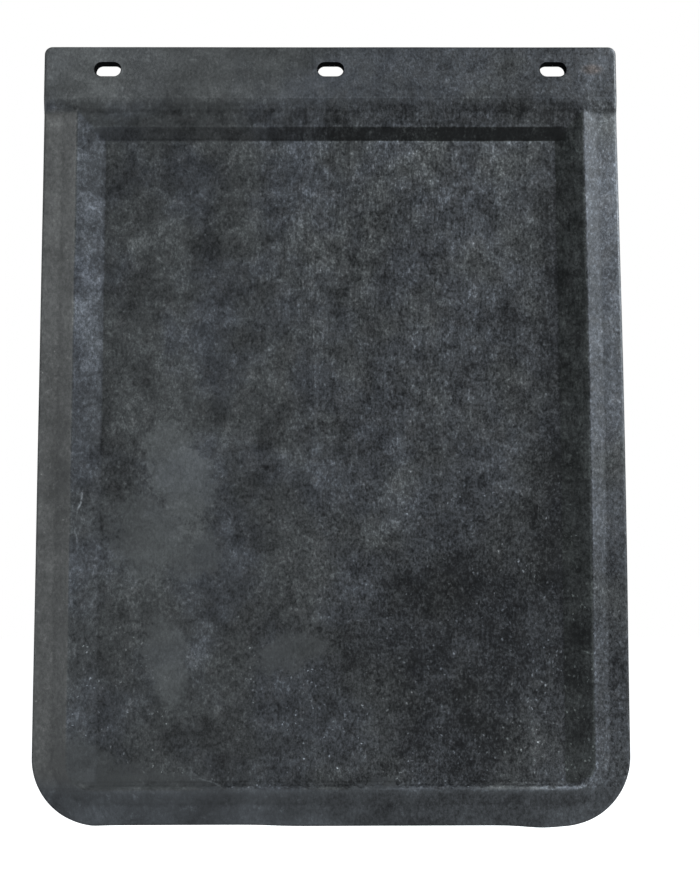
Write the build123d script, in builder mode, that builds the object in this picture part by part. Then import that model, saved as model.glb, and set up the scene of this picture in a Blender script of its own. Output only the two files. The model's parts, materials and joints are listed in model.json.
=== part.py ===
from build123d import *

import math
import os

# Moulded rubber mud flap, 18 in wide and 24 in tall.
# Frame: millimetres, +Z up, +X to the right, and the recessed face looks along -Y.
# The origin is the centre of the middle bolt slot, on the flat back face (y = 0).

INCH = 25.4

# Outline
WIDTH = 18 * INCH
HEIGHT = 24 * INCH
TOP_CORNER_R = 0.25 * INCH
BOTTOM_CORNER_R = 2.0 * INCH
SLOT_BELOW_TOP = 0.75 * INCH

# Bolt slots through the header strip
SLOT_COUNT = 3
SLOT_PITCH = 7.0 * INCH
SLOT_LENGTH = 13 / 16 * INCH
SLOT_WIDTH = 7 / 16 * INCH

# Thickness from the flat back to each level of the front
HEADER_T = 9.5
CREST_T = 7.9
SHELF_T = 7.1
FLANGE_T = 6.35
FLOOR_T = 3.6

# Distances down from the top edge. The ramp below the header is gentle down to the crest's
# level, then steeper down to the shelf between the ridges and to the flanges outside them.
HEADER_DROP = 42.0
RAMP_BREAK_DROP = 49.9
SHELF_START = 52.4
SHELF_END = 65.5
FLOOR_TOP = 76.0

# Distances in from the edge. The ridge runs down both sides and along the bottom.
RIDGE_FOOT_INSET = 15.5
CREST_OUTER_INSET = 26.5
CREST_INNER_INSET = 27.5
SHELF_INSET = 33.0
FLOOR_INSET = 49.5

# The recess ends at the bottom in one short steep wall, with no side facets
WALL_TOP_INSET = 27.5
WALL_MID_INSET = 28.0
WALL_FOOT_INSET = 30.5

# Radii of the two lower corners, from the ridge's foot in to the floor
RIDGE_FOOT_R = 35.0
CREST_R = 19.0
SHELF_R = 15.0
FLOOR_R = 7.0

# Edge finish
FRONT_EDGE_R = 1.8
BACK_EDGE_R = 0.8

# Flexing: the sheet bends as a chain of equal bands. Each turns up to FLEX_LIMIT degrees
# from the one above it, about a line across the flap at the sheet's neutral depth.
BAND_COUNT = 16
FIRST_HINGE_DROP = 58.0
FLEX_LIMIT = 10.0
NEUTRAL_T = 2.2
NOTCH_GAP = 0.2
NOTCH_SPARE_ANGLE = 1.0

# How far the cutting profiles run past the moulding
CUT_MARGIN = 5.0

TOP_Z = SLOT_BELOW_TOP
BOTTOM_Z = TOP_Z - HEIGHT
FIRST_HINGE_Z = TOP_Z - FIRST_HINGE_DROP
BAND_PITCH = (FIRST_HINGE_Z - BOTTOM_Z) / BAND_COUNT
LOWER_RAMP_SLOPE = (CREST_T - SHELF_T) / (SHELF_START - RAMP_BREAK_DROP)
NOTCH_SLOPE = math.tan(math.radians(FLEX_LIMIT / 2 + NOTCH_SPARE_ANGLE))

os.makedirs("parts", exist_ok=True)


def level_plane(thickness):
    """Plane parallel to the back at this thickness, with its x along X and its y along Z."""
    return Plane(origin=(0, -thickness, 0), x_dir=(1, 0, 0), z_dir=(0, -1, 0))


def ramp_drop(thickness):
    """Distance below the top edge at which the lower ramp has come down to this thickness."""
    return RAMP_BREAK_DROP + (CREST_T - thickness) / LOWER_RAMP_SLOPE


def panel(thickness, side_inset, top_drop, bottom_inset, lower_corner_r):
    """Rectangle at one level of the front, with its two lower corners rounded."""
    top = TOP_Z - top_drop
    bottom = BOTTOM_Z + bottom_inset
    with BuildSketch(level_plane(thickness)) as face:
        with Locations((0, (top + bottom) / 2)):
            Rectangle(WIDTH - 2 * side_inset, top - bottom)
        fillet(face.vertices().group_by(Axis.Y)[0], lower_corner_r)
    return face.sketch


def notch_end(hinge_z, side):
    """Three points of a band's end at a hinge line, back to front.

    side is 1 where the band lies above the hinge line and -1 where it lies below.
    The end is a blunt V whose tip is at the neutral depth, so it clears its neighbour
    when the two turn towards each other on either face.
    """
    back_y = CUT_MARGIN
    front_y = -HEADER_T - CUT_MARGIN
    points = []
    for y in (back_y, -NEUTRAL_T, front_y):
        run = NOTCH_GAP / 2 + NOTCH_SLOPE * abs(y + NEUTRAL_T)
        points.append((y, hinge_z + side * run))
    return points


def plain_end(z):
    """Two points of a cutting profile past the flap's own edge, back to front."""
    return [(CUT_MARGIN, z), (-HEADER_T - CUT_MARGIN, z)]


def length_of_flap(upper_end, lower_end):
    """The stretch of the moulding between two ends, as a part of its own."""
    outline = upper_end + lower_end[::-1]
    with BuildPart() as stretch:
        add(moulding.part)
        with BuildSketch(Plane.YZ):
            with BuildLine():
                Polyline(*outline, close=True)
            make_face()
        extrude(amount=WIDTH / 2 + CUT_MARGIN, both=True, mode=Mode.INTERSECT)
    return stretch.part


# The whole moulding, before it is divided where it flexes
with BuildPart() as moulding:
    with BuildSketch(level_plane(0)) as outline_face:
        with Locations((0, (TOP_Z + BOTTOM_Z) / 2)):
            Rectangle(WIDTH, HEIGHT)
        fillet(outline_face.vertices().group_by(Axis.Y)[0], BOTTOM_CORNER_R)
        fillet(outline_face.vertices().group_by(Axis.Y)[-1], TOP_CORNER_R)
    extrude(amount=HEADER_T)

    # Everything in front of the flange, from the header's ramp to the bottom edge, comes away
    with BuildSketch(Plane.YZ):
        with BuildLine():
            Polyline(
                (-HEADER_T, TOP_Z - HEADER_DROP),
                (-CREST_T, TOP_Z - RAMP_BREAK_DROP),
                (-FLANGE_T, TOP_Z - ramp_drop(FLANGE_T)),
                (-FLANGE_T, BOTTOM_Z - CUT_MARGIN),
                (-HEADER_T - CUT_MARGIN, BOTTOM_Z - CUT_MARGIN),
                (-HEADER_T - CUT_MARGIN, TOP_Z - HEADER_DROP),
                close=True,
            )
        make_face()
    extrude(amount=WIDTH / 2 + CUT_MARGIN, both=True, mode=Mode.SUBTRACT)

    # Rounded rim, front and back
    back_edges = moulding.faces().sort_by(Axis.Y)[-1].edges()
    thickness_edges = moulding.edges().filter_by(Axis.Y)
    ramp_edges = moulding.edges().filter_by(Axis.X).filter_by_position(
        Axis.Z, TOP_Z - ramp_drop(FLANGE_T) - 1, TOP_Z - HEADER_DROP + 1
    )
    front_edges = moulding.edges() - back_edges - thickness_edges - ramp_edges
    fillet(front_edges, FRONT_EDGE_R)
    fillet(moulding.faces().sort_by(Axis.Y)[-1].edges(), BACK_EDGE_R)

    # Ridge: its top end runs into the header's ramp
    loft(
        [
            panel(FLANGE_T, RIDGE_FOOT_INSET, HEADER_DROP, RIDGE_FOOT_INSET, RIDGE_FOOT_R),
            panel(CREST_T, CREST_OUTER_INSET, HEADER_DROP, CREST_OUTER_INSET, CREST_R),
        ],
        ruled=True,
    )

    # Upper recess: the side facets fall from the crest to the shelf, and the header's ramp
    # comes down to it in the same plane
    loft(
        [
            panel(CREST_T, CREST_INNER_INSET, ramp_drop(CREST_T), WALL_TOP_INSET, CREST_R),
            panel(SHELF_T, SHELF_INSET, ramp_drop(SHELF_T), WALL_MID_INSET, SHELF_R),
        ],
        ruled=True,
        mode=Mode.SUBTRACT,
    )

    # Main recess: wide side facets, a steeper top facet and the steep wall at the bottom
    loft(
        [
            panel(SHELF_T, SHELF_INSET, SHELF_END, WALL_MID_INSET, SHELF_R),
            panel(FLOOR_T, FLOOR_INSET, FLOOR_TOP, WALL_FOOT_INSET, FLOOR_R),
        ],
        ruled=True,
        mode=Mode.SUBTRACT,
    )

    # Bolt slots
    with BuildSketch(level_plane(0)):
        with GridLocations(SLOT_PITCH, 0, SLOT_COUNT, 1):
            SlotOverall(SLOT_LENGTH, SLOT_WIDTH)
    extrude(amount=HEADER_T, mode=Mode.SUBTRACT)

# Header strip, which the bracket clamps
header = length_of_flap(plain_end(TOP_Z + CUT_MARGIN), notch_end(FIRST_HINGE_Z, 1))
header.label = "header_strip"
export_step(header, "parts/header_strip.step")

# Flex bands, numbered from the top down
for number in range(1, BAND_COUNT + 1):
    upper_hinge_z = FIRST_HINGE_Z - (number - 1) * BAND_PITCH
    if number == BAND_COUNT:
        lower_end = plain_end(BOTTOM_Z - CUT_MARGIN)
    else:
        lower_end = notch_end(upper_hinge_z - BAND_PITCH, 1)
    band = length_of_flap(notch_end(upper_hinge_z, -1), lower_end)
    band.label = f"flex_band_{number}"
    export_step(band, f"parts/{band.label}.step")
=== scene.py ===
"""Looks of the moulded rubber mud flap: one unbroken skin over the header strip and its flex bands."""

import json
import math

import bpy
import numpy as np
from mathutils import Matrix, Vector


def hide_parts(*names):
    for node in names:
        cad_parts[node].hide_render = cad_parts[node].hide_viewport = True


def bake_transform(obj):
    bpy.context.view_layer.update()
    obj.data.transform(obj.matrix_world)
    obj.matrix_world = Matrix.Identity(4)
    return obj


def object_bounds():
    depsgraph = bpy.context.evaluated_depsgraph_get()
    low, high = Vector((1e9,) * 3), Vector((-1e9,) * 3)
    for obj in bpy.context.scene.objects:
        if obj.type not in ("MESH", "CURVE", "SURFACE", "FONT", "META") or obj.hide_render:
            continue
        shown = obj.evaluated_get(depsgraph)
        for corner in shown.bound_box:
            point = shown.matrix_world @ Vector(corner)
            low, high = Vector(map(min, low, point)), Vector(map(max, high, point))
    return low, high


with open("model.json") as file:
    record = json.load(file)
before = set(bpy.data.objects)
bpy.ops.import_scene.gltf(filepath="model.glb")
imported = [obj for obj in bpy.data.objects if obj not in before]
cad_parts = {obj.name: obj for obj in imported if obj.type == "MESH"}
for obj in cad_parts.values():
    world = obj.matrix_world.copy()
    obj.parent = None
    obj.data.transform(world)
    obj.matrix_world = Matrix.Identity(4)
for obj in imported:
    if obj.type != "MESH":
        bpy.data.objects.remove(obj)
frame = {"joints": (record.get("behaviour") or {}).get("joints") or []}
cad_low, cad_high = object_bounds()

MM = 0.001

# Outline, from the frame
WIDTH = cad_high.x - cad_low.x
HEIGHT = cad_high.z - cad_low.z
TOP_Z = cad_high.z
BOTTOM_Z = cad_low.z
TOP_CORNER_R = 6.35 * MM

# Thickness from the flat back (y = 0) to each level of the front
HEADER_T = 9.5 * MM
CREST_T = 7.9 * MM
SHELF_T = 7.1 * MM
FLANGE_T = 6.35 * MM
FLOOR_T = 3.6 * MM

# Drops below the top edge
HEADER_DROP = 42.0 * MM
RAMP_BREAK_DROP = 49.9 * MM
SHELF_START = 52.4 * MM
FLANGE_START = 54.7 * MM
SHELF_END = 65.5 * MM
FLOOR_TOP = 76.0 * MM

# Insets from the sides and the bottom
RIDGE_FOOT = 15.5 * MM
CREST_OUTER = 26.5 * MM
CREST_INNER = 27.5 * MM
SHELF_SIDE = 33.0 * MM
FLOOR_SIDE = 49.5 * MM
WALL_MID = 28.0 * MM
WALL_FOOT = 30.5 * MM

# Radius of the lower corners of a line that runs round the flap, by its inset
CORNER_INSETS = np.array([0, 15.5, 26.5, 27.5, 33, 49.5, 50.8]) * MM
CORNER_RADII = np.array([50.8, 35, 19, 19, 14, 4, 0]) * MM

# Roundings
FRONT_RIM_R = 2.4 * MM
BACK_RIM_R = 1.0 * MM
RIM_STEPS = 6
CREASE_SOFTNESS = 1.1 * MM
SOFT_SAMPLES = 5
SLOT_LIP_R = 0.6 * MM
BACK_LIP_SHARE = 0.7
LIP_STEPS = 4
SHARP_ANGLE = math.radians(50)

# Bolt slots
SLOT_DROP = 19.05 * MM
SLOT_PITCH = 177.8 * MM
SLOT_R = 5.55625 * MM
SLOT_LENGTH = 20.6375 * MM
SLOT_HALF_STRAIGHT = SLOT_LENGTH / 2 - SLOT_R
SLOT_BLOCK_HALF_WIDTH = 17.8 * MM
SLOT_BLOCK_TOP = 8.0 * MM
SLOT_BLOCK_BOTTOM = 30.1 * MM
SLOT_RING_SHARES = (0.3, 0.55, 0.75, 0.9)
SLOT_WALL_SHARES = (0.25, 0.5, 0.75)

# Mould's parting line round the edge
PARTING_T = 1.9 * MM
PARTING_HALF_WIDTH = 0.4 * MM
PARTING_PROUD = 0.22 * MM
EDGE_BULGE = 0.02 * MM

# Keeps a radius of zero out of divisions
TINY = 1e-9

# Where the trimmed edge strays from its true line: a bow at the right side, and at the bottom
# a step down from left to right, a bulge near the right corner and a dip near the left one
SIDE_BOW = 1.3 * MM
BOTTOM_DRIFT_HEIGHT = 45 * MM
BOTTOM_STEP = 1.2 * MM
BOTTOM_STEP_X = -45 * MM
BOTTOM_STEP_RUN = 7 * MM
BOTTOM_BULGE = 1.8 * MM
BOTTOM_BULGE_X = 161 * MM
BOTTOM_BULGE_WIDTH = 19 * MM
BOTTOM_DIP = 0.35 * MM
BOTTOM_DIP_X = -181 * MM
BOTTOM_DIP_WIDTH = 9 * MM

# Unevenness of the faces: size, wavelength and number of waves of each layer
FRONT_WAVES = [
    (0.10 * MM, 130 * MM, 6),
    (0.022 * MM, 17 * MM, 14),
    (0.006 * MM, 6 * MM, 18),
]
BACK_WAVES = (0.05 * MM, 90 * MM, 8)

# Flow line along the crest above the bottom edge
FLOW_LINE = 0.35 * MM
FLOW_LINE_INSET = 27.6 * MM
FLOW_LINE_WIDTH = 0.9 * MM
FLOW_LINE_WANDER = (0.8 * MM, 60 * MM, 5)
FLOW_LINE_START = 30 * MM
FLOW_LINE_FADE = 20 * MM

# Lines that bound the marks of the front, and how far the marks ease across them
HEADER_FOOT = 46 * MM
UNDER_HEADER = 52.5 * MM
SOFT_EASE = 8 * MM
UNDER_HEADER_EASE = 4 * MM
TOP_FACET_EASE = 6 * MM
MITRE_EASE = 1.5 * MM
# Reaches and size of the curvature mark: humps are rubbed lighter and hollows darkened with painted
# shade
CURVE_NEAR = 0.8 * MM
CURVE_FAR = 2.4 * MM
CURVE_HUMP = 0.12 * MM

SEED = 24

joints = frame["joints"]
hinge_zs = [joint["pos_m"][2] for joint in joints]
band_pitch = hinge_zs[0] - hinge_zs[1]
cut_drops = [TOP_Z - z + band_pitch / 2 for z in hinge_zs[:-1]]


# ---------------------------------------------------------------- layout of the skin

FLAT_STEP = 2.2 * MM


def zone_lines(start, zones):
    """Lines from start through zones of (end, step), evenly spaced at no more than each one's step."""
    lines = [start]
    for end, step in zones:
        first = lines[-1]
        count = max(1, math.ceil((end - first) / step - 1e-6))
        lines += [first + (end - first) * i / count for i in range(1, count + 1)]
    return lines


def rim_lines():
    """Insets of the lines that round the front rim."""
    angles = [math.pi / 2 * i / RIM_STEPS for i in range(RIM_STEPS + 1)]
    return [FRONT_RIM_R * (1 - math.cos(angle)) for angle in angles]


def edge_lines():
    """Insets of the lines along the sides and the bottom, close together across each crease."""
    zones = [
        (8.0 * MM, 1.4 * MM),
        (14.5 * MM, 2.0 * MM),
        (16.5 * MM, 0.7 * MM),
        (25.2 * MM, 1.8 * MM),
        (34.0 * MM, 0.55 * MM),
        (48.5 * MM, 1.8 * MM),
        (51.0 * MM, 0.6 * MM),
    ]
    return rim_lines()[:-1] + zone_lines(FRONT_RIM_R, zones)


def column_lines():
    """Distances of the columns from the left edge."""
    left = edge_lines()
    slot_side = WIDTH / 2 - SLOT_PITCH + SLOT_BLOCK_HALF_WIDTH
    middle_slot_side = WIDTH / 2 - SLOT_BLOCK_HALF_WIDTH
    zones = [(end, FLAT_STEP) for end in (slot_side, middle_slot_side, WIDTH / 2)]
    half = left[:-1] + zone_lines(left[-1], zones)
    return np.array(half + [WIDTH - u for u in half[-2::-1]])


def row_lines():
    """Distances of the rows from the top edge. Each cut between two pieces is a row."""
    bottom = edge_lines()
    zones = [
        (SLOT_BLOCK_TOP, 1.4 * MM),
        (SLOT_BLOCK_BOTTOM, 2.0 * MM),
        (40.6 * MM, 2.0 * MM),
        (43.4 * MM, 0.7 * MM),
        (49.0 * MM, 1.4 * MM),
        (56.0 * MM, 0.6 * MM),
        (64.3 * MM, 1.4 * MM),
        (66.7 * MM, 0.6 * MM),
        (74.6 * MM, 1.4 * MM),
        (cut_drops[0], 0.7 * MM),
        (77.6 * MM, 0.6 * MM),
    ]
    zones += [(drop, FLAT_STEP) for drop in cut_drops[1:]]
    zones += [(HEIGHT - bottom[-1], 0.7 * MM)]
    upper = rim_lines()[:-1] + zone_lines(FRONT_RIM_R, zones)
    return np.array(upper[:-1] + [HEIGHT - v for v in reversed(bottom)])


def bend_corner(side, end, radius_at):
    """Moves points near a square corner so that each line round it turns on its own radius."""
    inset = np.minimum(side, end)
    run = np.maximum(side, end) - inset
    radius = np.maximum(radius_at(inset), TINY)
    angle = math.pi / 4 * (1 - np.minimum(run / radius, 1))
    near = inset + radius * (1 - np.cos(angle))
    far = inset + radius * (1 - np.sin(angle))
    turned = run < radius
    new_side = np.where(turned, np.where(end <= side, far, near), side)
    new_end = np.where(turned, np.where(end <= side, near, far), end)
    return new_side, new_end


def lower_radius(inset):
    return np.interp(inset, CORNER_INSETS, CORNER_RADII)


def upper_radius(inset):
    return np.maximum(TOP_CORNER_R - inset, 0)


def bell(distance, width):
    return np.exp(-(distance / width) ** 2)


def outline_drift(x, z):
    """How far the edge strays from its true line: outward at the right side, and down at the bottom."""
    bow = SIDE_BOW * np.clip((x - WIDTH / 4) / (WIDTH / 4), 0, 1) ** 2
    bow = bow * np.sin(np.clip((TOP_Z - z) / HEIGHT, 0, 1) * math.pi) ** 2
    low = np.clip((BOTTOM_Z + BOTTOM_DRIFT_HEIGHT - z) / BOTTOM_DRIFT_HEIGHT, 0, 1) ** 2
    step = BOTTOM_STEP / (1 + np.exp(-(x - BOTTOM_STEP_X) / BOTTOM_STEP_RUN))
    bulge = BOTTOM_BULGE * bell(x - BOTTOM_BULGE_X, BOTTOM_BULGE_WIDTH)
    dip = BOTTOM_DIP * bell(x - BOTTOM_DIP_X, BOTTOM_DIP_WIDTH)
    return bow, low * (step + bulge + dip)


def place(u, v):
    """x and z of the layout's points, u from the left edge and v down from the top edge."""
    right = u > WIDTH / 2
    side = np.where(right, WIDTH - u, u)
    bottom_side, bottom_end = bend_corner(side, HEIGHT - v, lower_radius)
    top_side, top_end = bend_corner(side, v, upper_radius)
    lower = v > HEIGHT / 2
    side = np.where(lower, bottom_side, top_side)
    v = np.where(lower, HEIGHT - bottom_end, top_end)
    x = np.where(right, WIDTH / 2 - side, side - WIDTH / 2)
    z = TOP_Z - v
    bow, sag = outline_drift(x, z)
    return x + bow, z - sag


# ---------------------------------------------------------------- relief of the front

def sharp_thickness(u, v):
    """Thickness with every crease sharp."""
    side = np.minimum(u, WIDTH - u)
    end = HEIGHT - v
    ridge = np.clip((np.minimum(side, end) - RIDGE_FOOT) / (CREST_OUTER - RIDGE_FOOT), 0, 1)
    upper_recess = np.minimum.reduce([
        (side - CREST_INNER) / (SHELF_SIDE - CREST_INNER),
        (end - CREST_INNER) / (WALL_MID - CREST_INNER),
        (v - RAMP_BREAK_DROP) / (SHELF_START - RAMP_BREAK_DROP),
    ])
    main_recess = np.minimum.reduce([
        (side - SHELF_SIDE) / (FLOOR_SIDE - SHELF_SIDE),
        (end - WALL_MID) / (WALL_FOOT - WALL_MID),
        (v - SHELF_END) / (FLOOR_TOP - SHELF_END),
    ])
    body = FLANGE_T + (CREST_T - FLANGE_T) * ridge
    body = body - (CREST_T - SHELF_T) * np.clip(upper_recess, 0, 1)
    body = body - (SHELF_T - FLOOR_T) * np.clip(main_recess, 0, 1)
    header_drops = [HEADER_DROP, RAMP_BREAK_DROP, FLANGE_START]
    header = np.interp(v, header_drops, [HEADER_T, CREST_T, FLANGE_T], right=0)
    return np.maximum(header, body)


def softened(field, u, v, reach):
    """A field averaged over a small square, which rounds its creases."""
    offsets = np.linspace(-reach, reach, SOFT_SAMPLES)
    total = sum(field(u + du, v + dv) for du in offsets for dv in offsets)
    return total / offsets.size ** 2


def waves(x, z, size, wavelength, count, rng):
    """Smooth random field of about the given size: plane waves in random directions."""
    total = np.zeros_like(x)
    for _ in range(count):
        direction = rng.uniform(0, 2 * math.pi)
        phase = rng.uniform(0, 2 * math.pi)
        k = 2 * math.pi / (wavelength * rng.uniform(0.7, 1.4))
        total += np.sin(k * (x * math.cos(direction) + z * math.sin(direction)) + phase)
    return size * (total / math.sqrt(count / 2))


def rim_drop(inset, radius):
    """How far the surface has fallen away at an inset inside the rounded rim."""
    inside = np.clip(radius - inset, 0, radius)
    return radius - np.sqrt(radius ** 2 - inside ** 2)


def relief(u, v, x, z, rng):
    """Small unevenness of the moulded front, added to its thickness."""
    side = np.minimum(u, WIDTH - u)
    end = HEIGHT - v
    unevenness = sum(waves(x, z, *layer, rng) for layer in FRONT_WAVES)
    wander = waves(x, 0 * z, *FLOW_LINE_WANDER, rng)
    along = np.clip((side - FLOW_LINE_START) / FLOW_LINE_FADE, 0, 1)
    flow_line = FLOW_LINE * bell(end - FLOW_LINE_INSET - wander, FLOW_LINE_WIDTH) * along
    return unevenness + flow_line


def between(value, low, high, ease=1.0 * MM):
    """1 where value lies between low and high, easing to 0 just outside."""
    return np.clip((value - low) / ease + 0.5, 0, 1) * np.clip((high - value) / ease + 0.5, 0, 1)


# What a point of the skin belongs to. The walls inside the slots carry a mark for the painted shade
# that makes them near black, and the curvature mark runs from -1 in the hollows, darkened with painted
# shade, to 1 on the humps
MARKS = (
    "header", "lintel", "flange", "ramp", "facet", "top_facet",
    "brow", "crest", "rim", "wear", "fresh",
)


def front_marks(u, v):
    """The marks of each point of the front, for the rubber's tone and rubbing and for its painted shade
    and highlights.
    """
    side = np.minimum(u, WIDTH - u)
    end = HEIGHT - v
    ring = np.minimum(side, end)
    all_below = HEIGHT + 1
    below_header = between(v, UNDER_HEADER, all_below, UNDER_HEADER_EASE)
    over_floor = between(side, FLOOR_SIDE, WIDTH)
    # The side facets end above in a mitre, from the crest down to the corner of the floor
    share = np.clip((side - CREST_INNER) / (FLOOR_SIDE - CREST_INNER), 0, 1)
    mitre = SHELF_START + (FLOOR_TOP - SHELF_START) * share
    facet_side = between(side, CREST_INNER, FLOOR_SIDE)
    above_mitre = between(v, HEADER_FOOT, mitre, MITRE_EASE) * facet_side
    below_mitre = between(v, mitre, all_below, MITRE_EASE)
    above_shelf_end = between(v, HEADER_FOOT, SHELF_END, SOFT_EASE) * over_floor
    near_floor = between(side, FLOOR_SIDE - TOP_FACET_EASE, WIDTH, TOP_FACET_EASE)
    hump = softened(sharp_thickness, u, v, CURVE_NEAR) - softened(sharp_thickness, u, v, CURVE_FAR)
    marks = {
        "header": between(v, -1, HEADER_FOOT, SOFT_EASE),
        "lintel": np.maximum(above_shelf_end, above_mitre),
        "flange": between(ring, -1, RIDGE_FOOT) * below_header,
        "ramp": between(ring, RIDGE_FOOT, CREST_OUTER) * below_header,
        "facet": facet_side * between(end, WALL_FOOT, HEIGHT) * below_mitre,
        "top_facet": between(v, SHELF_END, FLOOR_TOP) * near_floor,
        "brow": between(v, FLOOR_TOP - 0.5 * MM, FLOOR_TOP + 3 * MM) * over_floor,
        # Band along the crest, which carries a painted highlight
        "crest": between(ring, CREST_OUTER - 0.7 * MM, CREST_INNER + 1.3 * MM) * below_header,
        # Band of the rounded outer rim, which is painted with shade
        "rim": between(np.minimum(ring, v), -1, 1.2 * MM),
        # Curvature: humps rubbed lighter, hollows darkened with painted shade
        "wear": np.clip(hump / CURVE_HUMP, -1, 1),
        "fresh": 0 * u,
    }
    return np.stack([marks[name] for name in MARKS], axis=-1)


rng = np.random.default_rng(SEED)
columns = column_lines()
rows = row_lines()
u, v = np.meshgrid(columns, rows)
x, z = place(u, v)
inset = np.minimum.reduce([u, WIDTH - u, v, HEIGHT - v])
thickness = softened(sharp_thickness, u, v, CREASE_SOFTNESS) + relief(u, v, x, z, rng)
front = np.stack([x, -(thickness - rim_drop(inset, FRONT_RIM_R)), z], axis=-1)
front_mark = front_marks(u, v)
back_wave = waves(x, z, *BACK_WAVES, rng)
back = np.stack([x, back_wave - rim_drop(inset, BACK_RIM_R), z], axis=-1)


# ---------------------------------------------------------------- pieces of the skin

class Shell:
    """Points and faces of one closed piece, with the marks of each point."""

    def __init__(self):
        self.points = []
        self.marks = []
        self.count = 0
        self.faces = []

    def add_points(self, points, marks):
        """Adds points of any array shape, with their marks, and returns their indices in that shape."""
        shape = points.shape[:-1]
        indices = np.arange(self.count, self.count + int(np.prod(shape))).reshape(shape)
        self.points.append(points.reshape(-1, 3))
        self.marks.append(np.broadcast_to(marks, shape + (len(MARKS),)).reshape(-1, len(MARKS)))
        self.count += indices.size
        return indices

    def add_quads(self, a, b, c, d):
        quads = np.stack([np.ravel(a), np.ravel(b), np.ravel(c), np.ravel(d)], axis=1)
        self.faces += quads.tolist()

    def add_strip(self, first, second):
        """Quads between two lines of points, facing left of the way they run."""
        self.add_quads(first[:-1], second[:-1], second[1:], first[1:])

    def mesh(self, name):
        """The mesh without the points that no face uses."""
        corners = np.concatenate([np.ravel(face) for face in self.faces])
        used, flat = np.unique(corners, return_inverse=True)
        points = np.concatenate(self.points)[used]
        ends = np.cumsum([len(face) for face in self.faces])[:-1]
        faces = [part.tolist() for part in np.split(flat, ends)]
        data = bpy.data.meshes.new(name)
        data.from_pydata(points.tolist(), [], faces)
        rest = data.attributes.new("rest", "FLOAT_VECTOR", "POINT")
        rest.data.foreach_set("vector", points.ravel())
        marks = np.concatenate(self.marks)[used]
        for number, mark in enumerate(MARKS):
            attribute = data.attributes.new(mark, "FLOAT", "POINT")
            attribute.data.foreach_set("value", marks[:, number].astype(np.float32))
        return data


PLAIN = np.zeros(len(MARKS))
HEADER_MARK = np.array([float(name == "header") for name in MARKS])
# Marks the walls inside the slots, painted near black as shade
SLOT_SHADE_MARK = np.array([float(name == "fresh") for name in MARKS])


def edge_walls(shell, front_ids, back_ids, outward):
    """Wall round the outer edge, with the mould's parting line. Returns its points by column."""
    points = np.concatenate(shell.points)
    front_points = points[front_ids]
    marks = np.concatenate(shell.marks)[front_ids]
    front_t = -front_points[:, 1]
    # Thickness at each line down the edge, and how far it stands out: a third and two thirds of
    # the way to the parting line, then the line itself
    levels = [
        (front_t * 0.67 + PARTING_T * 0.33, EDGE_BULGE),
        (front_t * 0.33 + PARTING_T * 0.67, 0.0),
        (PARTING_T + PARTING_HALF_WIDTH, 0.0),
        (PARTING_T, PARTING_PROUD),
        (PARTING_T - PARTING_HALF_WIDTH, 0.0),
    ]
    lines = [front_ids]
    for level, proud in levels:
        ring = front_points + outward * proud
        ring[:, 1] = -level
        lines.append(shell.add_points(ring, marks))
    lines.append(back_ids)
    for first, second in zip(lines, lines[1:]):
        shell.add_strip(first, second)
    return np.array(lines)


def outward_of(front_patch, row, column):
    """Unit directions out of the flap at points of its outer edge."""
    rows_in = np.clip(row, 1, front_patch.shape[0] - 2)
    columns_in = np.clip(column, 1, front_patch.shape[1] - 2)
    out = front_patch[row, column] - front_patch[rows_in, columns_in]
    out[:, 1] = 0
    return out / np.linalg.norm(out, axis=1, keepdims=True)


def close_cut(shell, front_row, back_row, left_wall, right_wall, facing_down):
    """Flat end across the piece. Its first and last faces take in the wall's points."""
    middle = slice(1, -1)
    first = front_row[middle]
    second = back_row[middle]
    left_end = [front_row[1], front_row[0], *left_wall, back_row[0], back_row[1]]
    right_end = [back_row[-2], back_row[-1], *right_wall[::-1], front_row[-1], front_row[-2]]
    ends = [left_end, right_end]
    if facing_down:
        shell.add_strip(first, second)
    else:
        shell.add_strip(second, first)
        ends = [end[::-1] for end in ends]
    shell.faces += [[int(i) for i in end] for end in ends]


def block_outline(first_row, last_row, first_column, last_column):
    """Rows and columns of the points round a block of the layout."""
    down = np.arange(first_row, last_row)
    across = np.arange(first_column, last_column)
    up = np.arange(last_row, first_row, -1)
    back_across = np.arange(last_column, first_column, -1)
    loop_rows = [down, across * 0 + last_row, up, back_across * 0 + first_row]
    loop_columns = [down * 0 + first_column, across, up * 0 + last_column, back_across]
    return np.concatenate(loop_rows), np.concatenate(loop_columns)


def cut_slot(shell, centre_u, ids, points, block, lip, flip):
    """Rings of quads from a block of the layout in to the slot's lip. Returns the innermost ring."""
    mark = PLAIN if flip else HEADER_MARK
    loop_rows, loop_columns = block_outline(*block)
    outer_ids = ids[loop_rows, loop_columns]
    outer = points[loop_rows, loop_columns]
    centre = np.array([centre_u - WIDTH / 2, 0, TOP_Z - SLOT_DROP])
    spine = np.zeros_like(outer)
    spine[:, 0] = np.clip(outer[:, 0] - centre[0], -SLOT_HALF_STRAIGHT, SLOT_HALF_STRAIGHT)
    spine += centre
    spine[:, 1] = outer[:, 1]
    direction = outer - spine
    direction /= np.linalg.norm(direction, axis=1, keepdims=True)
    sign = 1 if flip else -1
    rings = [outer_ids]
    lip_edge = spine + direction * (SLOT_R + lip)
    for share in SLOT_RING_SHARES:
        rings.append(shell.add_points(outer + (lip_edge - outer) * share, mark))
    for i in range(LIP_STEPS + 1):
        angle = math.pi / 2 * i / LIP_STEPS
        ring = spine + direction * (SLOT_R + lip * (1 - math.sin(angle)))
        ring[:, 1] = outer[:, 1] - sign * lip * (1 - math.cos(angle))
        # The lip's rounding and the walls inside the slot carry the painted shade
        rings.append(shell.add_points(ring, SLOT_SHADE_MARK if i else mark))
    for first, second in zip(rings, rings[1:]):
        first = np.append(first, first[0])
        second = np.append(second, second[0])
        if flip:
            shell.add_strip(first, second)
        else:
            shell.add_strip(second, first)
    return rings[-1]


def nearest(lines, value):
    return int(np.argmin(np.abs(lines - value)))


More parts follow.
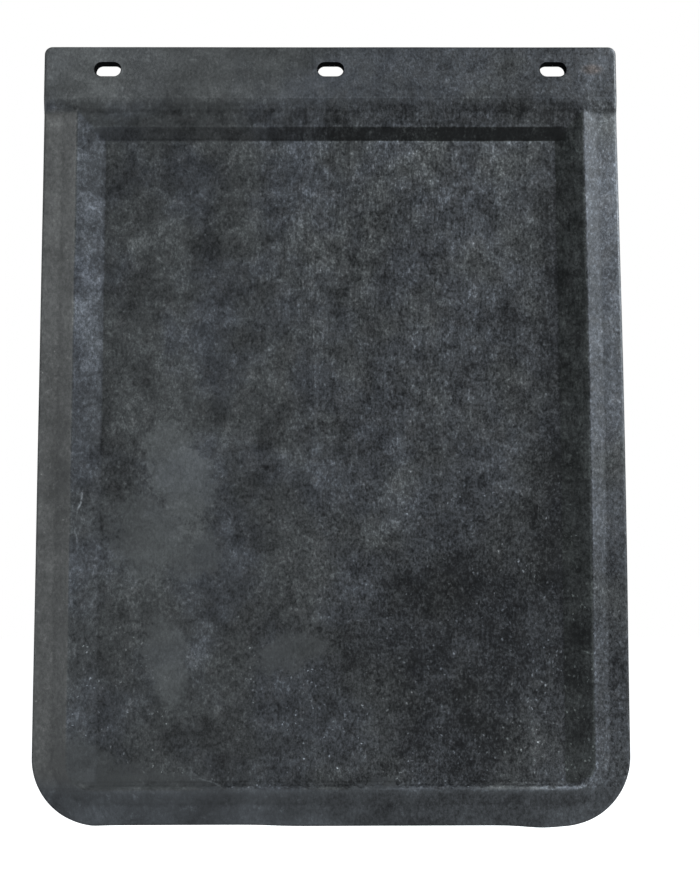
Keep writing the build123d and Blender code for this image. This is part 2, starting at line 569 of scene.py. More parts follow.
def cut_slots(shell, front_ids, back_ids, front_patch, back_patch, keep):
    """Opens the three slots in the header, lips and walls included."""
    first_row = nearest(rows, SLOT_BLOCK_TOP)
    last_row = nearest(rows, SLOT_BLOCK_BOTTOM)
    for number in (-1, 0, 1):
        centre_u = WIDTH / 2 + number * SLOT_PITCH
        first_column = nearest(columns, centre_u - SLOT_BLOCK_HALF_WIDTH)
        last_column = nearest(columns, centre_u + SLOT_BLOCK_HALF_WIDTH)
        keep[first_row:last_row, first_column:last_column] = False
        block = (first_row, last_row, first_column, last_column)
        lip = cut_slot(shell, centre_u, front_ids, front_patch, block, SLOT_LIP_R, False)
        back_lip_r = SLOT_LIP_R * BACK_LIP_SHARE
        back_lip = cut_slot(shell, centre_u, back_ids, back_patch, block, back_lip_r, True)
        points = np.concatenate(shell.points)
        rings = [lip]
        # The walls inside the slot carry the painted shade
        for share in SLOT_WALL_SHARES:
            ring = points[lip] * (1 - share) + points[back_lip] * share
            rings.append(shell.add_points(ring, SLOT_SHADE_MARK))
        rings.append(back_lip)
        for first, second in zip(rings, rings[1:]):
            shell.add_strip(np.append(second, second[0]), np.append(first, first[0]))


def build_walls(shell, front_patch, front_ids, back_ids, top_open, bottom_open):
    """Walls round the piece's outer edge. Returns their points at the ends of each cut."""
    row_count, column_count = front_ids.shape
    down = np.arange(row_count)
    left = (down, down * 0)
    right = (down[::-1], down * 0 + column_count - 1)
    across = np.arange(column_count)
    if top_open:
        # up the right side, along the top and down the left side
        chain = (np.concatenate([right[0][:-1], across * 0, left[0][1:]]),
                 np.concatenate([right[1][:-1], across[::-1], left[1][1:]]))
        walls = edge_walls(shell, front_ids[chain], back_ids[chain], outward_of(front_patch, *chain))
        return {"bottom_left": walls[1:-1, -1], "bottom_right": walls[1:-1, 0]}
    if bottom_open:
        # down the left side, along the bottom and up the right side
        chain = (np.concatenate([left[0][:-1], across * 0 + row_count - 1, right[0][1:]]),
                 np.concatenate([left[1][:-1], across, right[1][1:]]))
        walls = edge_walls(shell, front_ids[chain], back_ids[chain], outward_of(front_patch, *chain))
        return {"top_left": walls[1:-1, 0], "top_right": walls[1:-1, -1]}
    out = np.zeros((row_count, 3))
    out[:, 0] = 1
    left_wall = edge_walls(shell, front_ids[left], back_ids[left], -out)
    right_wall = edge_walls(shell, front_ids[right], back_ids[right], out)
    return {
        "top_left": left_wall[1:-1, 0],
        "bottom_left": left_wall[1:-1, -1],
        "top_right": right_wall[1:-1, -1],
        "bottom_right": right_wall[1:-1, 0],
    }


def build_piece(number, first_row, last_row):
    """One closed piece of the skin between two rows of the layout."""
    shell = Shell()
    front_patch = front[first_row:last_row + 1]
    back_patch = back[first_row:last_row + 1]
    front_ids = shell.add_points(front_patch, front_mark[first_row:last_row + 1])
    back_ids = shell.add_points(back_patch, PLAIN)
    keep = np.ones((front_ids.shape[0] - 1, front_ids.shape[1] - 1), bool)
    top_open = first_row == 0
    bottom_open = last_row == len(rows) - 1
    if top_open:
        cut_slots(shell, front_ids, back_ids, front_patch, back_patch, keep)
    for ids, turned in ((front_ids, False), (back_ids, True)):
        corners = [ids[:-1, :-1][keep], ids[1:, :-1][keep], ids[1:, 1:][keep], ids[:-1, 1:][keep]]
        shell.add_quads(*(corners[::-1] if turned else corners))

    wall_ends = build_walls(shell, front_patch, front_ids, back_ids, top_open, bottom_open)
    if not top_open:
        ends = (wall_ends["top_left"], wall_ends["top_right"])
        close_cut(shell, front_ids[0], back_ids[0], *ends, facing_down=False)
    if not bottom_open:
        ends = (wall_ends["bottom_left"], wall_ends["bottom_right"])
        close_cut(shell, front_ids[-1], back_ids[-1], *ends, facing_down=True)

    data = shell.mesh(f"rubber_skin_{number:02d}")
    data.validate()
    data.shade_smooth()
    data.set_sharp_from_angle(angle=SHARP_ANGLE)
    piece = bpy.data.objects.new(data.name, data)
    bpy.context.scene.collection.objects.link(piece)
    return piece


# ---------------------------------------------------------------- rubber

# An oval patch reaches right through the flap (mm) and is flat over this share of its radius
PATCH_DEPTH = 1e4
PATCH_CORE = 0.75

# Base colour of plain rubber. Every stop above it doubles it
RUBBER_BRIGHTNESS = 0.0205
# Painted shade that makes the walls inside the slots near black, in stops
SLOT_SHADE_STOPS = -5.0

# How far (mm) the faces behind the parting line look aside from the front's patches
PLAIN_SHIFT = 2000

# How far (mm) a slow noise tears the edges of patches, scratches and smears
TEAR_WAVELENGTH = 28
PATCH_TEAR = 70
SCRATCH_TEAR = 9
SMEAR_TEAR = 38

# Fine noise that frays the edges of smears (share of their radius) and of the skirt (times that)
FRAY_WAVELENGTH = 7
FRAY = 0.42
SKIRT_FRAY = 3.6

# Relief too fine for the mesh: wavelength and height (mm)
PORE_WAVELENGTH = 1.1
PORE_HEIGHT = 0.018
LUMP_WAVELENGTH = 4.5
LUMP_HEIGHT = 0.03

# Dust hides this share of the grain below it
DUST_HIDES = 0.6

# Factors on the red, green and blue of the rubber
PLAIN_TINT = (0.96, 1.0, 0.99, 1)
COOL_TINT = (0.925, 0.99, 1.12, 1)
WARM_TINT = (1.03, 0.99, 0.98, 1)
DUST_TINT = (0.965, 1.0, 0.99, 1)
SHADE_TINT = (0.93, 1.05, 0.93, 1)
# Painted sheen: a bluish tint for the facets that face the light
FACET_SHEEN_TINT = (0.91, 0.98, 1.16, 1)
LEFT_TINT = (1.025, 1.0, 0.955, 1)
BOTTOM_TINT = (0.92, 0.985, 1.085, 1)
HEADER_TINT = (0.99, 1.0, 0.975, 1)
RUST_TINT = (1.25, 0.97, 0.85, 1)
RUST_SMUDGE = (209, 0, 12, 6, 0)


class Nodes:
    """Short ways to add nodes to one material's tree. Each returns its output socket."""

    def __init__(self, material):
        material.use_nodes = True
        self.tree = material.node_tree
        self.shader = self.tree.nodes["Principled BSDF"]

    def feed(self, socket, value):
        if isinstance(value, bpy.types.NodeSocket):
            self.tree.links.new(value, socket)
        elif value is not None:
            socket.default_value = value

    def add(self, kind, *values, **settings):
        node = self.tree.nodes.new("ShaderNode" + kind)
        for name, value in settings.items():
            setattr(node, name, value)
        for socket, value in zip(node.inputs, values):
            self.feed(socket, value)
        return node

    def math(self, operation, a, b=None, c=None):
        return self.add("Math", a, b, c, operation=operation).outputs[0]

    def vector(self, operation, a, b):
        return self.add("VectorMath", a, b, operation=operation).outputs[0]

    def mark(self, name):
        return self.add("Attribute", attribute_name=name).outputs["Fac"]

    def span(self, value, low, high, to_low=0.0, to_high=1.0):
        """value from low..high to to_low..to_high, eased and held at both ends."""
        node = self.add("MapRange", value, interpolation_type="SMOOTHSTEP")
        for socket, number in zip(node.inputs[1:5], (low, high, to_low, to_high)):
            socket.default_value = number
        return node.outputs[0]

    def noise(self, place, wavelength, detail=2.0, roughness=0.5, distortion=0.0):
        """Noise of about -1..1 with its largest features a wavelength in millimetres apart."""
        node = self.add("TexNoise", place, normalize=False)
        node.inputs["Scale"].default_value = 1 / wavelength
        node.inputs["Detail"].default_value = detail
        node.inputs["Roughness"].default_value = roughness
        node.inputs["Distortion"].default_value = distortion
        return node.outputs[0]

    def stretched(self, place, x, z):
        """The place with features drawn out x and z times along those axes."""
        return self.vector("MULTIPLY", place, (1 / x, 1, 1 / z))

    def shifted(self, place, offset, reach):
        """The place moved by an offset times its reach along each axis."""
        return self.vector("ADD", place, self.vector("MULTIPLY", offset, reach))

    def patch(self, place, x, z, half_width, half_height, turn):
        """Soft oval, 1 at its middle and 0 at its rim. Sizes in millimetres, turn in degrees."""
        size = (half_width, PATCH_DEPTH, half_height)
        turned = (0, math.radians(-turn), 0)
        mapping = self.add("Mapping", place, (x, 0, z), turned, size, vector_type="TEXTURE")
        oval = self.add("TexGradient", mapping.outputs[0], gradient_type="SPHERICAL")
        return self.span(oval.outputs["Fac"], 0.0, PATCH_CORE)

    def total(self, terms):
        result = terms[0]
        for term in terms[1:]:
            result = self.math("ADD", result, term)
        return result

    def times(self, *factors):
        result = factors[0]
        for factor in factors[1:]:
            result = self.math("MULTIPLY", result, factor)
        return result

    def less(self, value):
        """What is left of 1."""
        return self.math("SUBTRACT", 1.0, value)

    def mix(self, share, first, second):
        node = self.add("Mix", data_type="RGBA")
        self.feed(node.inputs[0], share)
        self.feed(node.inputs[6], first)
        self.feed(node.inputs[7], second)
        return node.outputs[2]


# Soft patches that lighten or darken the front: x and z of the middle, half width, half
# height (mm), turn (degrees) and brightness (photographic stops)
PATCHES = [
    (71, -88, 120, 50, 4, 0.45),
    (-15, -154, 34, 85, 0, 0.45),
    (148, -81, 40, 42, 0, 0.30),
    (120, -170, 70, 60, 0, 0.20),
    (-144, -84, 62, 42, 0, -0.35),
    (-90, -141, 40, 26, 0, -0.45),
    (-122, -330, 60, 80, 0, 0.25),
    (-60, -425, 60, 50, 0, -0.35),
    (5, -461, 36, 26, 0, -0.45),
    (105, -465, 150, 150, 0, -0.80),
    (90, -415, 60, 50, 0, -0.45),
    (71, -345, 48, 70, 0, 0.30),
    (155, -520, 45, 70, 0, 0.45),
    (166, -364, 26, 90, 0, -0.40),
    (78, -301, 28, 24, 0, -0.35),
    (-139, -224, 60, 36, 0, 0.20),
    (-60, -560, 90, 40, 0, -0.30),
    (-95, -515, 60, 50, 0, -0.50),
    (150, -230, 50, 70, 0, -0.35),
    (-191, -190, 18, 80, 0, 0.60),
    (-20, -68, 240, 14, 0, 0.35),
    (212, 4, 18, 22, 0, 0.70),
    (125, 0, 34, 24, 0, -0.35),
    (139, -450, 16, 75, 0, -0.45),
    (-166, -308, 20, 44, 0, -0.45),
    (-60, -340, 26, 60, 0, -0.25),
    (-150, -97, 50, 20, 0, -0.30),
    (172, -530, 16, 44, 0, -0.60),
    (172, -88, 12, 34, 0, -0.50),
    (175, -241, 11, 26, 0, -0.60),
    (28, -72, 34, 14, 0, 0.60),
    (117, -70, 16, 12, 0, 0.60),
    (-96, -520, 44, 24, 0, -0.45),
    (209, 0, 11, 6, 0, 0.35),
    (-150, -500, 80, 80, 0, -0.15),
]

# Streaks of light scuffing over the grain, laid out as PATCHES
STREAKS = [
    (-147, -136, 38, 11, 48, 0.65),
    (-117, -140, 32, 7, 50, 0.50),
    (-187, -165, 10, 38, -3, 0.25),
]

# Smears of settled dust with ragged edges, which hide what lies under them: laid out as
# PATCHES, but the stops are the smear's own level
SMEARS = [
    (-118, -325, 40, 72, 12, 1.15),
    (-146, -370, 46, 46, 10, 0.85),
    (-112, -384, 42, 34, 0, 0.65),
    (-127, -468, 26, 54, 18, 0.92),
    (-190, -544, 36, 24, 0, 0.50),
    (-30, -462, 44, 20, 12, 0.45),
    (-160, -554, 46, 14, 0, 0.30),
]

# Short scratches, laid out as PATCHES
SCRATCHES = [
    (197, -461, 8.0, 0.9, -8, 1.6),
    (193, -425, 6.0, 0.8, 10, 1.0),
    (165, -509, 9.0, 0.8, 3, 1.1),
    (172, -516, 7.0, 0.7, -4, 0.8),
    (177, -342, 5.0, 0.8, 35, 1.0),
    (-194, -346, 1.2, 17.0, -8, 2.0),
    (-197, -372, 1.1, 14.0, 4, 1.2),
    (-199, -420, 1.4, 30.0, 3, 0.8),
    (-52, -455, 20.0, 0.9, 12, 0.6),
    (-60, -468, 24.0, 0.8, 15, 0.5),
    (-47, -447, 16.0, 0.8, 14, 0.5),
    (-93, -558.5, 17.0, 0.9, -20, 1.1),
]


class Front:
    """What the looks of the front share: its place (mm), its marks and the masks made of them."""

    def __init__(self, nodes, place):
        split = nodes.add("SeparateXYZ", place)
        self.place = place
        self.x = split.outputs[0]
        self.z = split.outputs[2]
        for name in MARKS:
            setattr(self, name, nodes.mark(name))
        self.inside = nodes.less(nodes.total([self.header, self.flange, self.ramp]))
        self.flats = nodes.math("ADD", self.flange, self.ramp)
        self.facets = nodes.math("ADD", self.facet, self.top_facet)
        self.left = nodes.span(self.x, 60, -60)
        self.right = nodes.span(self.x, -60, 60)
        self.low_right = nodes.times(nodes.span(self.x, -20, 130), nodes.span(self.z, -260, -440))


def oval_terms(nodes, place, ovals):
    """One term in stops for each oval."""
    return [nodes.times(nodes.patch(place, *shape), stops) for *shape, stops in ovals]


def frayed_patch(nodes, torn, fray, shape):
    """Oval patch with a ragged edge."""
    oval = nodes.math("ADD", nodes.patch(torn, *shape), fray)
    return nodes.span(oval, 0.12, 0.80)


def smears_over(nodes, torn, fray):
    """How much dust lies on each point (0 to 1), and the level of that dust in stops."""
    cover = 0.0
    level = 0.0
    for *shape, stops in SMEARS:
        smear = frayed_patch(nodes, torn, fray, shape)
        level = nodes.math("MAXIMUM", nodes.times(smear, stops), level)
        cover = nodes.math("MAXIMUM", smear, cover)
    return cover, level


def flecks_of(nodes, place, spacing, size, share):
    """Small bright flecks: in about this share of cells of this spacing (mm), none over size (mm)."""
    cells = nodes.add("TexVoronoi", place)
    cells.inputs["Scale"].default_value = 1 / spacing
    chance = nodes.add("SeparateColor", cells.outputs["Color"])
    dot = nodes.span(cells.outputs["Distance"], size / spacing / 2, 0.25 * size / spacing)
    return nodes.times(dot, nodes.span(chance.outputs[0], 1 - share, 1.0, 0.0, 1.0))


def skirt_of(nodes, front, wobble):
    """Smooth skin along the bottom, up to a ragged line: 1 inside it, and the bright line itself."""
    x = front.x
    above_bottom = nodes.math("SUBTRACT", front.z, BOTTOM_Z / MM)
    line = nodes.total([
        nodes.span(x, -112, -76, 39.0, 27.5),
        nodes.span(x, 24, 30, 0.0, 7.5),
        nodes.span(x, 44, 52, 0.0, -7.5),
        wobble,
    ])
    over = nodes.math("SUBTRACT", above_bottom, line)
    skirt = nodes.span(over, 0.6, -0.6)
    thread = nodes.times(nodes.span(over, 1.4, 0.0), nodes.span(over, -2.0, -0.2))
    shown_left = nodes.times(nodes.span(x, -125, -105), nodes.span(x, -72, -84))
    shown = nodes.math("ADD", nodes.span(x, 25, 60), shown_left)
    return skirt, nodes.times(thread, shown, nodes.span(wobble, -0.8, 0.5, 0.3, 1.0))


# The terms below are in stops. span(x, a, b, p, q) runs from p at x = a to q at x = b, in mm

def grain_terms(nodes, front, bare):
    """Clouds and grain, strongest inside the ridges and to the right, and brushed runs above."""
    x = front.x
    z = front.z
    place = front.place
    coarse = nodes.total([
        front.inside,
        nodes.times(front.header, nodes.span(x, -50, 150, 0.35, 0.8)),
        nodes.times(front.flats, nodes.span(x, -100, 100, 0.25, 0.7)),
        nodes.times(front.flats, front.right, nodes.span(z, -330, -480, 0.0, 0.35)),
        nodes.times(front.facet, front.right, -0.4),
        nodes.times(front.top_facet, nodes.span(x, -50, 150, -0.45, 0.1)),
        nodes.times(front.lintel, nodes.span(x, -200, 60, -0.6, -0.1)),
    ])
    coarse = nodes.times(coarse, bare)
    clouds = nodes.noise(place, 75, detail=3, roughness=0.55)
    blotches = nodes.noise(place, 19, detail=5, roughness=0.65, distortion=0.6)
    blotched = nodes.math("ADD", nodes.times(front.inside, bare, 0.45), 0.3)
    mottle = nodes.noise(place, 5.5, detail=4, roughness=0.7, distortion=0.7)
    drawn = nodes.stretched(place, 1.0, 1.3)
    worms = nodes.noise(drawn, 2.8, detail=3, roughness=0.7, distortion=1.6)
    grain = nodes.noise(nodes.stretched(place, 1.0, 1.5), 1.9, detail=2, roughness=0.75)
    grained = nodes.math("ADD", nodes.times(coarse, nodes.span(x, -120, 80, 0.68, 1.2)), 0.3)
    threads = nodes.noise(nodes.stretched(place, 1.0, 6.0), 2.2, detail=4, roughness=0.7)
    runs = nodes.noise(nodes.stretched(place, 1.0, 9.0), 8.0, detail=4, roughness=0.6)
    upper_right = nodes.times(nodes.span(z, -420, -180), nodes.span(x, -110, 0))
    smoother = nodes.times(nodes.math("ADD", front.header, front.flats), 0.8)
    brushed = nodes.times(upper_right, nodes.less(smoother))
    return [
        nodes.times(clouds, 0.6),
        nodes.times(blotches, blotched),
        nodes.times(blotches, front.flats, nodes.span(z, -560, -572), 0.35),
        nodes.times(mottle, coarse, nodes.span(x, -120, 80, 0.68, 0.9)),
        nodes.times(worms, coarse, nodes.span(x, -120, 80, 0.5, 1.0)),
        nodes.times(grain, grained),
        nodes.times(threads, brushed, 0.65),
        nodes.times(runs, brushed, 0.5),
    ]


def fleck_terms(nodes, front, bare):
    """White flecks of dust: fine ones in clusters, thickest low on the right, and stray ones."""
    curl = nodes.add("TexNoise", front.place)
    curl.inputs["Scale"].default_value = 1 / 3
    bent = nodes.shifted(front.place, curl.outputs["Color"], (3, 3, 5))
    gathering = nodes.noise(front.place, 13, detail=4, roughness=0.65)
    clusters = nodes.span(gathering, -0.15, 0.5, 0.25, 1.6)
    fine_flecks = nodes.times(flecks_of(nodes, bent, spacing=3.2, size=2.0, share=0.7), clusters)
    stray_flecks = flecks_of(nodes, front.place, spacing=9, size=1.8, share=0.25)
    settled = nodes.span(front.z, -400, -480, 0.45, 2.0)
    settled = nodes.math("ADD", nodes.times(front.low_right, 3.6), settled)
    return [
        nodes.math("MINIMUM", nodes.times(fine_flecks, bare, front.inside, settled), 2.7),
        nodes.times(stray_flecks, nodes.span(front.facet, 0.0, 1.0, 1.4, 0.8)),
    ]


def level_tone_light_and_shade_terms(nodes, front, skirt, skirt_line):
    """Each level's own brightness, with painted shade on the downward-facing lintel, bottom ramp and
    top facet and on the right-hand facets, and painted light on the left-hand facets.
    """
    x = front.x
    z = front.z
    left = front.left
    right = front.right
    under_bottom = nodes.span(z, -560, -572)
    level_floor = nodes.times(front.inside, nodes.less(front.facets))
    foot = nodes.times(nodes.span(x, 148, 172), nodes.span(z, -75, -120), nodes.span(z, -480, -380))
    strip = nodes.times(nodes.span(x, 150.5, 153), nodes.span(z, -395, -420), level_floor)
    return [
        nodes.times(front.inside, nodes.span(x, -180, 180, 0.30, -0.35)),
        nodes.times(front.inside, front.low_right, -0.45),
        nodes.times(strip, 0.52),
        nodes.times(level_floor, foot, -0.95),
        nodes.times(front.header, nodes.span(x, 200, -200, -0.35, 1.4)),
        # Painted shade on the downward-facing lintel below the header, deepest on the right
        nodes.times(front.lintel, nodes.span(x, -200, 180, 0.0, -0.9)),
        nodes.times(front.flange, left, nodes.span(z, -560, -60, 1.3, 1.75)),
        nodes.times(front.ramp, left, nodes.span(z, -560, -60, 1.15, 1.7)),
        nodes.times(front.flange, right, nodes.span(z, -500, -60, -0.45, 1.35)),
        nodes.times(front.ramp, right, nodes.span(z, -560, -60, 0.4, 1.15)),
        # Painted shade on the downward-facing ramp above the bottom edge
        nodes.times(front.ramp, under_bottom, nodes.span(x, 50, 120, -0.97, -1.2)),
        nodes.times(front.flange, under_bottom, nodes.span(x, -150, 130, -0.97, 0.02)),
        nodes.times(front.flange, nodes.span(z, -574, -589), nodes.span(x, -50, 120, 0.05, 0.25)),
        nodes.times(skirt, front.inside, nodes.span(x, -150, 150, 0.35, 0.75)),
        nodes.times(skirt_line, 0.55),
        # Painted light on the left-hand facets, which face the light
        nodes.times(front.facet, left, nodes.span(z, -400, -220, 0.05, 0.5)),
        # Painted shade on the right-hand facets, which face away from the light
        nodes.times(front.facet, right, nodes.span(z, -460, -200, 0.0, -0.9)),
        # Painted shade on the downward-facing top facet, deepest on the right
        nodes.times(front.top_facet, nodes.span(x, -200, 190, -0.55, -3.3)),
    ]


def crease_terms(nodes, front):
    """Creases rubbed lighter on the humps and darkened with painted shade in the hollows, painted shade
    on the rounded rim, the ramp below the header and the wall above the bottom ridge, painted
    highlights along the crest low on the right and along the header's lower edge, and a lighter band
    and thin line along the floor's top edge.
    """
    x = front.x
    z = front.z
    header = front.header
    off_edge = nodes.math("ABSOLUTE", nodes.math("ADD", z, (HEADER_DROP - TOP_Z) / MM))
    off_brow = nodes.math("ABSOLUTE", nodes.math("ADD", z, (FLOOR_TOP - TOP_Z) / MM + 0.5))
    above_bottom = nodes.math("SUBTRACT", z, BOTTOM_Z / MM)
    wall_foot = nodes.times(nodes.span(above_bottom, 25.0, 26.0), nodes.span(above_bottom, 29.0, 28.0))
    clear_of_slot_shade = nodes.span(front.fresh, 0.5, 0.0)
    chin = nodes.times(nodes.span(z, -33, -30), nodes.span(z, -22, -24), clear_of_slot_shade)
    chin_stops = nodes.total([
        nodes.span(x, -200, 150, -0.25, -0.05),
        nodes.span(x, -215, -190, 0.4, 0.0),
        nodes.span(x, 175, 205, 0.0, 0.4),
    ])
    return [
        nodes.times(front.brow, 0.7),
        # Painted highlight along the crest, low on the right
        nodes.times(front.crest, nodes.span(x, 110, 170), nodes.span(z, -250, -420, 0.35, 0.8)),
        # Painted shade on the rounded outer rim
        nodes.times(front.rim, -0.5),
        # Humps rubbed lighter and hollows darkened with painted shade, both weaker on the header
        nodes.times(front.wear, nodes.span(header, 0.0, 1.0, 0.45, 0.05)),
        # Painted shade on the downward-facing ramp below the header, turning to painted light at its
        # ends
        nodes.times(chin, chin_stops),
        # Painted shade on the lit wall above the bottom ridge
        nodes.times(wall_foot, nodes.span(x, 20, 60, -0.3, -0.1)),
        # Painted highlight along the header's lower edge
        nodes.times(nodes.span(off_edge, 0.8, 0.2), header, nodes.span(x, -150, 50, 0.1, 0.4)),
        nodes.times(nodes.span(z, -8, -22), header, nodes.span(x, -160, -60, -0.15, 0.0)),
        nodes.times(nodes.span(off_brow, 0.8, 0.2), nodes.span(x, -60, 60), front.brow, 0.8),
    ]


def rubber_stops(nodes, front):
    """Stops above or below plain rubber, from its tone, grain, rubbing and dust and from painted shade
    and highlights, and how much dust lies on top.
    """
    tear = nodes.add("TexNoise", front.place)
    tear.inputs["Scale"].default_value = 1 / TEAR_WAVELENGTH
    tear.inputs["Detail"].default_value = 5
    tear.inputs["Roughness"].default_value = 0.6
    centred = nodes.vector("SUBTRACT", tear.outputs["Color"], (0.5, 0.5, 0.5))
    ragged = nodes.shifted(front.place, centred, (PATCH_TEAR,) * 3)
    wavy = nodes.shifted(front.place, centred, (SCRATCH_TEAR,) * 3)
    torn = nodes.shifted(front.place, centred, (SMEAR_TEAR,) * 3)
    fray = nodes.noise(front.place, FRAY_WAVELENGTH, detail=5, roughness=0.75)
    fray = nodes.times(fray, FRAY)
    cover, dust_level = smears_over(nodes, torn, fray)
    skirt, skirt_line = skirt_of(nodes, front, nodes.times(fray, SKIRT_FRAY))
    bare = nodes.less(nodes.times(skirt, nodes.span(front.flats, 0.0, 1.0, 0.7, 0.5)))

    terms = oval_terms(nodes, ragged, PATCHES)
    terms += oval_terms(nodes, wavy, SCRATCHES)
    for *shape, stops in STREAKS:
        terms.append(nodes.times(frayed_patch(nodes, torn, fray, shape), stops))
    terms += grain_terms(nodes, front, bare)
    terms += fleck_terms(nodes, front, bare)
    terms += level_tone_light_and_shade_terms(nodes, front, skirt, skirt_line)
    terms += crease_terms(nodes, front)
    # Painted shade: the walls inside the slots near black
    terms.append(nodes.times(front.fresh, SLOT_SHADE_STOPS))
    under_dust = nodes.less(nodes.times(cover, DUST_HIDES))
    stops = nodes.math("ADD", nodes.times(nodes.total(terms), under_dust), dust_level)
    return stops, cover


def rubber_tint(nodes, front, cover):
    """Colour of the rubber, as factors on its brightness."""
    x = front.x
    z = front.z
    drift = nodes.noise(front.place, 60, detail=4)
    cool = nodes.math("ADD", drift, nodes.span(x, -150, 150, -0.15, 0.25))
    elsewhere = nodes.vector("ADD", front.place, (300, 0, 0))
    warm = nodes.span(nodes.noise(elsewhere, 9, detail=3), 0.0, 0.6)
    shade = nodes.times(front.facets, nodes.span(x, -60, 120, 0.0, 0.7))
    upper_left = nodes.times(nodes.span(x, -120, -180, 0.0, 0.6), nodes.span(z, -400, -220, 0.25, 1.0))
    rust = nodes.patch(front.place, *RUST_SMUDGE)
    tint = nodes.mix(nodes.span(cool, -0.45, 0.45), PLAIN_TINT, COOL_TINT)
    layers = [
        (nodes.times(warm, 0.3), WARM_TINT),
        (nodes.times(cover, 0.7), DUST_TINT),
        (shade, SHADE_TINT),
        # Painted sheen: a bluish tint on the facets to the upper left
        (nodes.times(front.facets, upper_left), FACET_SHEEN_TINT),
        (nodes.times(front.flats, nodes.span(x, 0, -150)), LEFT_TINT),
        (nodes.times(front.flats, nodes.span(z, -550, -570)), BOTTOM_TINT),
        (nodes.times(front.header, nodes.span(x, 50, -150, 0.0, 0.8)), HEADER_TINT),
        (nodes.times(rust, 0.8), RUST_TINT),
    ]
    for share, colour in layers:
        tint = nodes.mix(share, tint, colour)
    return tint


def rubber_material():
    material = bpy.data.materials.new("moulded_rubber")
    nodes = Nodes(material)
    inputs = nodes.shader.inputs
    rest = nodes.add("Attribute", attribute_name="rest").outputs["Vector"]
    place = nodes.vector("SCALE", rest, None)
    place.node.inputs["Scale"].default_value = 1 / MM
    # The back and the rear of the edges, behind the parting line, have none of the front's patches
    depth = nodes.add("SeparateXYZ", place).outputs[1]
    behind = nodes.math("GREATER_THAN", depth, -PARTING_T / MM)
    shift = nodes.times(behind, PLAIN_SHIFT)
    aside = nodes.add("CombineXYZ", shift, 0.0, shift).outputs[0]
    place = nodes.vector("ADD", place, aside)
    front = Front(nodes, place)

    stops, cover = rubber_stops(nodes, front)
    brightness = nodes.times(nodes.math("POWER", 2.0, stops), RUBBER_BRIGHTNESS)
    grey = nodes.add("CombineXYZ", brightness, brightness, brightness).outputs[0]
    nodes.feed(inputs["Base Color"], nodes.vector("MULTIPLY", rubber_tint(nodes, front, cover), grey))

    sheen = nodes.noise(place, 12, detail=4, roughness=0.6)
    nodes.feed(inputs["Roughness"], nodes.span(sheen, -0.6, 0.6, 0.46, 0.66))
    # The painted shade in the slots also takes away most of their specular
    slot_shade_dimming = nodes.span(front.fresh, 0.0, 0.6, 1.0, 0.05)
    shaded = nodes.span(front.top_facet, 0.0, 1.0, 1.0, 0.85)
    specular = nodes.times(nodes.span(stops, -2.8, 0.3, 0.17, 0.38), slot_shade_dimming, shaded)
    nodes.feed(inputs["Specular IOR Level"], specular)

    pores = nodes.times(nodes.noise(place, PORE_WAVELENGTH, detail=3, roughness=0.6), PORE_HEIGHT)
    lumps = nodes.times(nodes.noise(place, LUMP_WAVELENGTH, detail=3, roughness=0.5), LUMP_HEIGHT)
    bump = nodes.add("Bump")
    bump.inputs["Strength"].default_value = 1.0
    bump.inputs["Distance"].default_value = MM
    nodes.feed(bump.inputs["Height"], nodes.math("ADD", pores, lumps))
    nodes.feed(inputs["Normal"], bump.outputs["Normal"])
    return material


rubber = rubber_material()

cut_rows = [0] + [nearest(rows, drop) for drop in cut_drops] + [len(rows) - 1]
for number, (first_row, last_row) in enumerate(zip(cut_rows, cut_rows[1:]), start=1):
    piece = build_piece(number, first_row, last_row)
    piece.data.materials.append(rubber)
    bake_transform(piece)
    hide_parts(f"flex_band_{number}")
    if number == 1:
        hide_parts("header_strip")


# ---------------------------------------------------------------- floor, lights and camera

FLOOR_BELOW = 0.12
FLOOR_SIZE = 12
FLOOR_GREY = 0.8
FLOOR_GLOW = 0.9
STUDIO_WHITE = (0.93, 1.0, 1.05)
AMBIENT_STRENGTH = 0.15
BACKDROP_STRENGTH = 1.0
MIDDLE_Y = -0.004

# Name, place from the flap's middle, width and height (m), and power (W)
SOFTBOXES = [
    ("key", (1.3, -0.55, 0.75), (0.5, 0.8), 60),
    ("fill", (-1.4, -0.9, -0.1), (0.8, 1.2), 13),
]

CAMERA_LENS = 58.3
CAMERA_DISTANCE = 1.10
CAMERA_TILT = math.radians(5.77)
CAMERA_TURN = math.radians(-0.45)
CAMERA_ROLL = math.radians(-0.14)
CAMERA_ASIDE = 0.0062
CAMERA_RAISE = -0.0068


def build_floor():
    """Pale floor that shows near white but throws little of its own light up at the flap."""
    place = (0, 0, cad_low.z - FLOOR_BELOW)
    bpy.ops.mesh.primitive_plane_add(size=FLOOR_SIZE, location=place)
    floor = bpy.context.object
    floor.name = "floor"
    material = bpy.data.materials.new("pale_floor")
    nodes = Nodes(material)
    nodes.shader.inputs["Base Color"].default_value = (FLOOR_GREY, FLOOR_GREY, FLOOR_GREY, 1)
    nodes.shader.inputs["Roughness"].default_value = 0.8
    nodes.shader.inputs["Emission Color"].default_value = (1, 1, 1, 1)
    seen = nodes.add("LightPath").outputs["Is Camera Ray"]
    nodes.feed(nodes.shader.inputs["Emission Strength"], nodes.times(seen, FLOOR_GLOW))
    floor.data.materials.append(material)


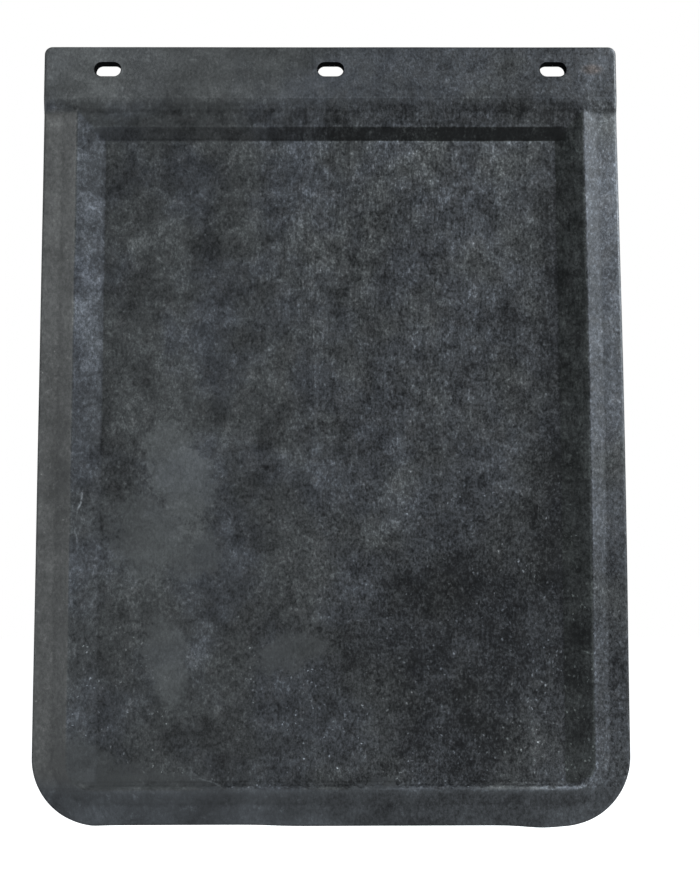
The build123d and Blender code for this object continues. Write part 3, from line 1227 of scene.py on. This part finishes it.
def softbox(name, place, aim, size, power):
    light = bpy.data.lights.new(name, "AREA")
    light.shape = "RECTANGLE"
    light.size, light.size_y = size
    light.energy = power
    light.color = STUDIO_WHITE
    lamp = bpy.data.objects.new(name, light)
    lamp.location = place
    lamp.rotation_mode = "QUATERNION"
    lamp.rotation_quaternion = (Vector(aim) - Vector(place)).to_track_quat("-Z", "Y")
    bpy.context.scene.collection.objects.link(lamp)


def build_world():
    """Dim surroundings that light the flap, seen by the camera as plain white."""
    world = bpy.data.worlds.new("studio")
    world.use_nodes = True
    bpy.context.scene.world = world
    tree = world.node_tree
    ambient = tree.nodes["Background"]
    ambient.inputs["Color"].default_value = (*STUDIO_WHITE, 1)
    ambient.inputs["Strength"].default_value = AMBIENT_STRENGTH
    backdrop = tree.nodes.new("ShaderNodeBackground")
    backdrop.inputs["Color"].default_value = (1, 1, 1, 1)
    backdrop.inputs["Strength"].default_value = BACKDROP_STRENGTH
    paths = tree.nodes.new("ShaderNodeLightPath")
    mix = tree.nodes.new("ShaderNodeMixShader")
    tree.links.new(paths.outputs["Is Camera Ray"], mix.inputs["Fac"])
    tree.links.new(ambient.outputs["Background"], mix.inputs[1])
    tree.links.new(backdrop.outputs["Background"], mix.inputs[2])
    tree.links.new(mix.outputs["Shader"], tree.nodes["World Output"].inputs["Surface"])


def build_camera(middle):
    camera_data = bpy.data.cameras.new("camera")
    camera_data.lens = CAMERA_LENS
    camera = bpy.data.objects.new("camera", camera_data)
    bpy.context.scene.collection.objects.link(camera)
    look = Vector((0, math.cos(CAMERA_TILT), math.sin(CAMERA_TILT)))
    camera.location = middle - look * CAMERA_DISTANCE + Vector((CAMERA_ASIDE, 0, CAMERA_RAISE))
    camera.rotation_euler = (math.pi / 2 + CAMERA_TILT, 0, CAMERA_TURN)
    camera.rotation_euler.rotate_axis("Z", CAMERA_ROLL)
    bpy.context.scene.camera = camera


middle = Vector((0, MIDDLE_Y, (cad_low.z + cad_high.z) / 2))
build_floor()
for name, offset, size, power in SOFTBOXES:
    softbox(name, middle + Vector(offset), middle, size, power)
build_world()
build_camera(middle)
bpy.context.scene.view_settings.view_transform = "Standard"
